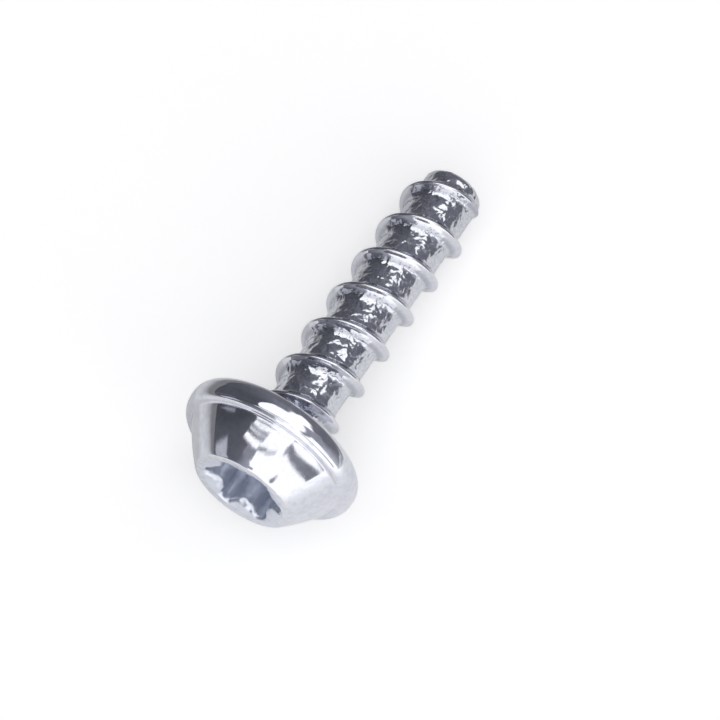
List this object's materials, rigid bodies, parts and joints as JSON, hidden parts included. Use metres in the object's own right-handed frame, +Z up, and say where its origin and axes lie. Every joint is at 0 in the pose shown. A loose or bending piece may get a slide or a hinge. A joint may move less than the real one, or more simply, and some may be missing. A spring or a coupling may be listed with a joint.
{
  "type": "six-lobe socket screw",
  "caption": "Thread-forming screw with a coarse right-hand thread, a washer flange and a domed head with a six-lobe socket, lying on its side.",
  "frame": {"origin": "centre of the box's bottom, on the surface that the screw lies on", "axes": "+X from the head towards the tip, level; +Z up. The screw's own axis dips 9.39 degrees below +X, in the XZ plane, because it lies on its flange and its thread"},
  "size_m": [0.0194, 0.0086, 0.0086],
  "materials": {
    "zinc_steel": "bright blue-white zinc plating, smooth on the head, rougher between the flights"
  },
  "bodies": {
    "root": {"screw": "zinc_steel"}
  },
  "joints": []
}
